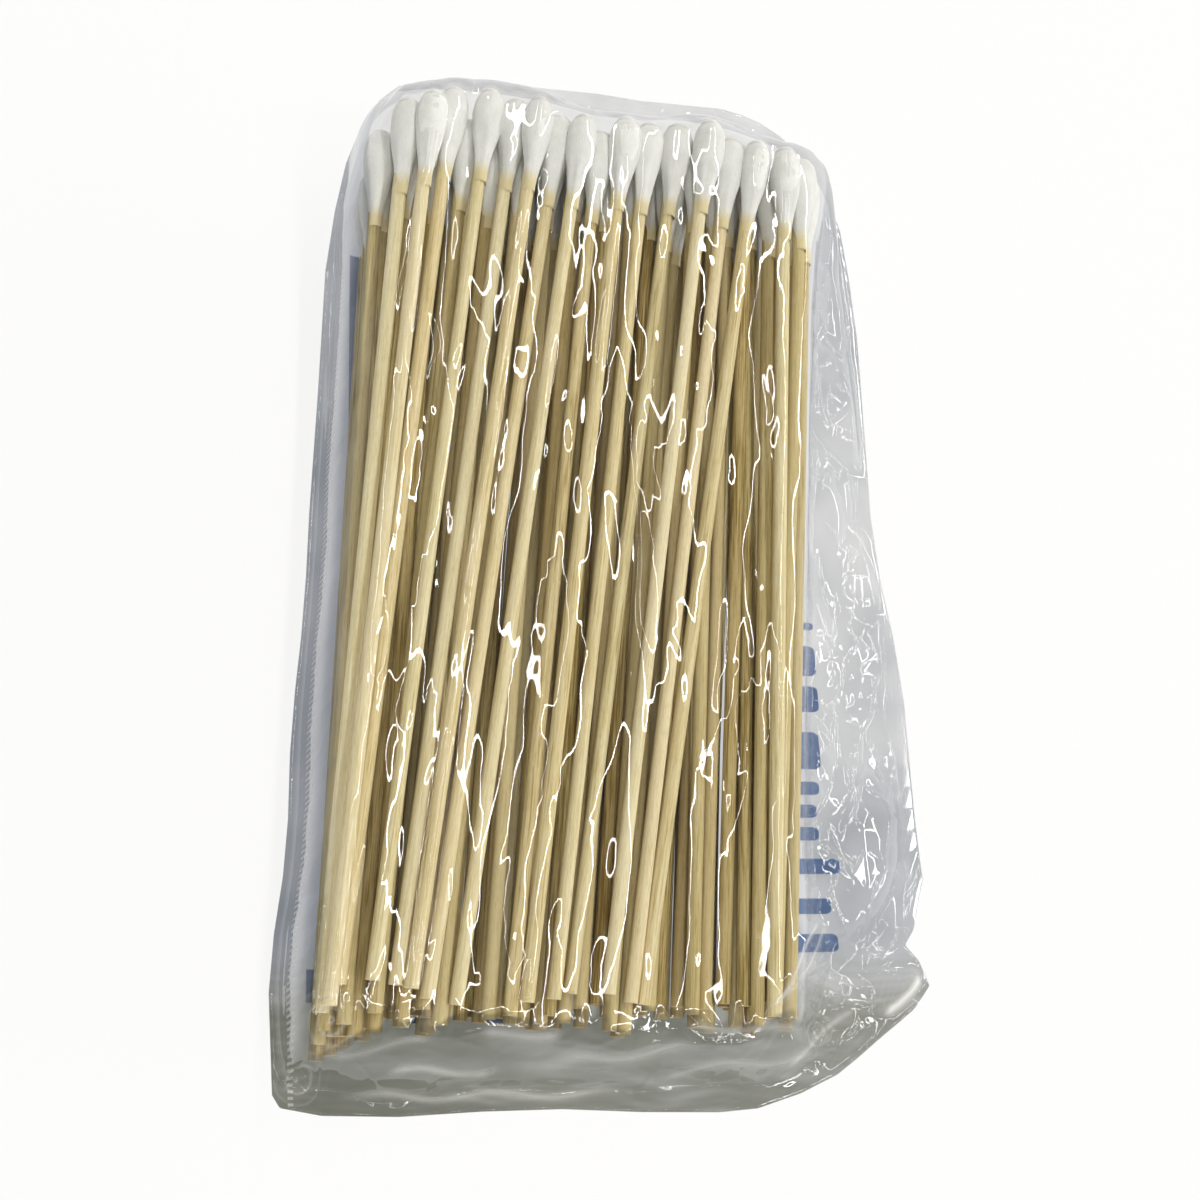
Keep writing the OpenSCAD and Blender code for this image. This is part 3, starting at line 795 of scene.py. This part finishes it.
# Cotton: each tip is wound anew round its CAD axis, lumpy, and thins to the stick's radius at its lower end
def cotton_material():
    """Matt white cotton with fibres laid round the tip; the stick's colour shows where the cotton is thin."""
    made, tree, out = material("wound_cotton")
    own = vector_field(tree, "grain")
    fibres = noise(tree, own, 2.6, 2.0, 0.75, (0.5, 2.4, 2.4), 0.5)
    lumps = noise(tree, own, 0.35, 2.0)
    strands = noise(tree, own, 1.6, 2.0, 0.5, (0.25, 3.4, 3.4))
    light = math_node(tree, "MULTIPLY", fibres, 0.55)
    light = math_node(tree, "ADD", light, math_node(tree, "MULTIPLY", lumps, 0.45))
    white = colours(tree, light, (0.30, (0.69, 0.695, 0.665)), (0.62, (0.81, 0.815, 0.785)))
    show = math_node(tree, "MULTIPLY_ADD", field(tree, "thin"), 1.6, -0.75)
    show = math_node(tree, "MULTIPLY_ADD", strands, 0.9, show)
    show = math_node(tree, "MINIMUM", math_node(tree, "MAXIMUM", show, 0.0), 1.0)
    colour = mixed(tree, show, white, (0.71, 0.61, 0.345))
    bump = node(tree, "ShaderNodeBump", Strength=0.55, Distance=0.00018, Height=fibres).outputs[0]
    surface = node(tree, "ShaderNodeBsdfPrincipled", Base_Color=colour, Roughness=0.95, Normal=bump,
                   Specular_IOR_Level=0.0, Sheen_Weight=0.35, Sheen_Roughness=0.6)
    tree.links.new(surface.outputs[0], out.inputs["Surface"])
    return made


def wound_tip(points, turns, rings, seed, stick):
    """Places in m, faces, own coordinates and thinness of one cotton tip, fitted to the CAD tip's points."""
    centre, along, side, up = axis_of(points)
    t = (points - centre) @ along
    low, high = t.min(), t.max()
    knots, widest = profile_of(points, centre, along, side, up, 7, 1.2e-6)
    keep = widest > 0.0004
    knots, widest = knots[keep], widest[keep]
    share = np.linspace(0, 1, rings)
    s = high - (high - low + TAIL) * (share - 0.10 * np.sin(2 * np.pi * share) / np.pi)
    radius = np.interp(s, knots, widest)
    cap = np.clip((high - s) / ROUND_END, 0, 1)
    radius = np.where(s > knots.max(), radius * np.sqrt(1 - (1 - cap) ** 2), radius)
    radius[0] = HAIR
    turn = np.linspace(0, 2 * np.pi, turns, endpoint=False)
    ss, tt = np.meshgrid(s, turn, indexing="ij")
    rr = np.repeat(radius[:, None], turns, 1)

    # Lumps and windings, then a ragged lower end that thins to the stick
    a, b = ss / MM, tt
    lumps = gradient_noise(a / 4 + 7, np.cos(b) * 1.3 + np.sin(b) * 0.7 + seed, seed)
    wrap = gradient_noise(a / 1.1, 2.0 * np.cos(b + a * 0.25) + seed % 13, seed + 1)
    rr = rr + MM * np.clip(rr / 0.002, 0, 1) * (0.09 * lumps + 0.04 * wrap)
    ragged = 1.8 * gradient_noise(1.4 * np.cos(b) + seed % 7, 1.4 * np.sin(b), seed + 2)
    thick = eased((a - (low / MM + 3.2 + ragged) + 4.6) / 8.5) ** 0.8
    rr = (stick + HAIR) + (rr * FLUFF - stick - HAIR) * thick
    own = np.stack([(ss - high) / MM, rr / MM * np.cos(tt), rr / MM * np.sin(tt)], -1).reshape(-1, 3)
    out = (rr * np.cos(tt))[..., None] * side + (rr * np.sin(tt))[..., None] * up
    place = centre + ss[..., None] * along + out
    index = np.arange(rings * turns).reshape(rings, turns)
    beside = np.roll(index, -1, 1)
    faces = np.stack([index[:-1], beside[:-1], beside[1:], index[1:]], -1).reshape(-1, 4)
    thin = 1 - eased((a - low / MM + 3.0) / 5.6)
    return place.reshape(-1, 3), faces, own, thin.ravel()


cotton = cotton_material()
widest_of = [widest.max() for *_, widest in swabs]
stick_radius = float(np.median([w for w in widest_of if w < THICKEST_STICK]))
tip_seed = 100
for name in sorted(n for n in nodes if "tip" in n):
    co, parts = parts_of(nodes[name].data)
    places, faces, owns, thins, start = [], [], [], [], 0
    counts = FINE_TIP if name.startswith("swab") else PLAIN_TIP
    for part in parts:
        tip_seed += 1
        place, quads, own, thin = wound_tip(co[part], *counts, tip_seed, stick_radius)
        places.append(place)
        thins.append(thin)
        faces.append(quads + start)
        owns.append(own + tip_seed * 17.3 % 90)
        start += len(place)
    mesh = bpy.data.meshes.new(name + "_cotton")
    mesh.from_pydata(np.vstack(places).tolist(), [], np.vstack(faces).tolist())
    mesh.polygons.foreach_set("use_smooth", [True] * len(mesh.polygons))
    piece = placed(name + "_cotton", mesh)
    point_field(piece, "grain", np.vstack(owns), "FLOAT_VECTOR")
    point_field(piece, "thin", np.concatenate(thins))
    mesh.materials.append(cotton)
    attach(piece, "root")
    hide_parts(name)


# Print on the back film: plain bars and blocks, with no lettering
def ink_material():
    """Blue ink, a little worn."""
    made, tree, out = material("blue_ink")
    worn = noise(tree, node(tree, "ShaderNodeTexCoord").outputs["Object"], 420.0, 4.0)
    blue = colours(tree, worn, (0.3, (0.045, 0.10, 0.26)), (0.7, (0.07, 0.15, 0.34)))
    surface = node(tree, "ShaderNodeBsdfPrincipled", Base_Color=blue, Roughness=0.4)
    tree.links.new(surface.outputs[0], out.inputs["Surface"])
    return made


def printed(name, blocks, tree_below):
    """Flat blocks of ink draped on the back film, their right corners rounded a little."""
    points, faces = [], []
    cols, rows = INK_CELLS
    for left, right, low, high in blocks:
        start = len(points)
        turn = min(INK_CORNER, (high - low) / 2)
        for j in range(rows + 1):
            py = low + (high - low) * j / rows
            near_end = max(0.0, abs(py - (low + high) / 2) - (high - low) / 2 + turn)
            pulled = turn - math.sqrt(max(0.0, turn ** 2 - near_end ** 2))
            for i in range(cols + 1):
                px = left + (right - pulled - left) * i / cols
                hit = tree_below.ray_cast(Vector((px, py, 30)), Vector((0, 0, -1)))[0]
                points.append((px * MM, py * MM, ((hit.z if hit else UNDER_PILE) + INK_RISE) * MM))
        for j in range(rows):
            for i in range(cols):
                a = start + j * (cols + 1) + i
                faces.append((a, a + 1, a + cols + 2, a + cols + 1))
    mesh = bpy.data.meshes.new(name)
    mesh.from_pydata(points, [], faces)
    return placed(name, mesh)


ink = printed("printed_blocks", PRINT, tree_of([film_back]))
ink.data.materials.append(ink_material())
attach(ink, "root")

# Floor: matt for the light that falls on it, and partly aglow where it is looked at
floor_mesh = bpy.data.meshes.new("floor")
corners = [(sx * FLOOR_HALF, sy * FLOOR_HALF, 0) for sx, sy in ((-1, -1), (1, -1), (1, 1), (-1, 1))]
floor_mesh.from_pydata(corners, [], [(0, 1, 2, 3)])
floor = placed("floor", floor_mesh)
floor.location.z = FLOOR_Z
floor_look, tree, out = material("pale_floor")
matt = node(tree, "ShaderNodeBsdfDiffuse", Color=(0.88, 0.88, 0.88, 1))
glow = node(tree, "ShaderNodeEmission", Color=(1, 1, 1, 1), Strength=1.0)
path = node(tree, "ShaderNodeLightPath").outputs
looked_at = math_node(tree, "MAXIMUM", path["Is Camera Ray"], path["Is Glossy Ray"])
looked_at = math_node(tree, "MAXIMUM", looked_at, path["Is Transmission Ray"])
share = math_node(tree, "MULTIPLY", looked_at, FLOOR_GLOW)
pale = node(tree, "ShaderNodeMixShader", i0=share, i1=matt.outputs[0], i2=glow.outputs[0])
tree.links.new(pale.outputs[0], out.inputs["Surface"])
floor_mesh.materials.append(floor_look)

# World: bright near the horizon and dim overhead, so that the film mirrors a dim ceiling
world = bpy.data.worlds.new("studio")
bpy.context.scene.world = world
world.use_nodes = True
tree = world.node_tree
tree.nodes.clear()
out = tree.nodes.new("ShaderNodeOutputWorld")
direction = node(tree, "ShaderNodeTexCoord").outputs["Generated"]
rise = node(tree, "ShaderNodeSeparateXYZ", Vector=direction).outputs[2]
ceiling = colours(tree, rise, (0.05, (0.98, 0.99, 1)), (0.52, (0.17, 0.165, 0.155)))
sky = node(tree, "ShaderNodeBackground", Color=ceiling, Strength=1.0)
tree.links.new(sky.outputs[0], out.inputs["Surface"])


def tube(name, place, along, length, width, power):
    """A long thin lamp that faces the bag, its length along a given direction."""
    data = bpy.data.lights.new(name, "AREA")
    data.shape = "RECTANGLE"
    data.size = width
    data.size_y = length
    data.energy = power
    data.color = LAMP_COLOUR
    back = (Vector(place) - Vector(LAMP_AIM)).normalized()
    side = Vector(along).cross(back).normalized()
    turned = Matrix((side, back.cross(side), back)).transposed()
    placed(name, data).matrix_world = Matrix.Translation(place) @ turned.to_4x4()


for lamp in LAMPS:
    tube(*lamp)
bpy.context.scene.view_settings.view_transform = "Standard"
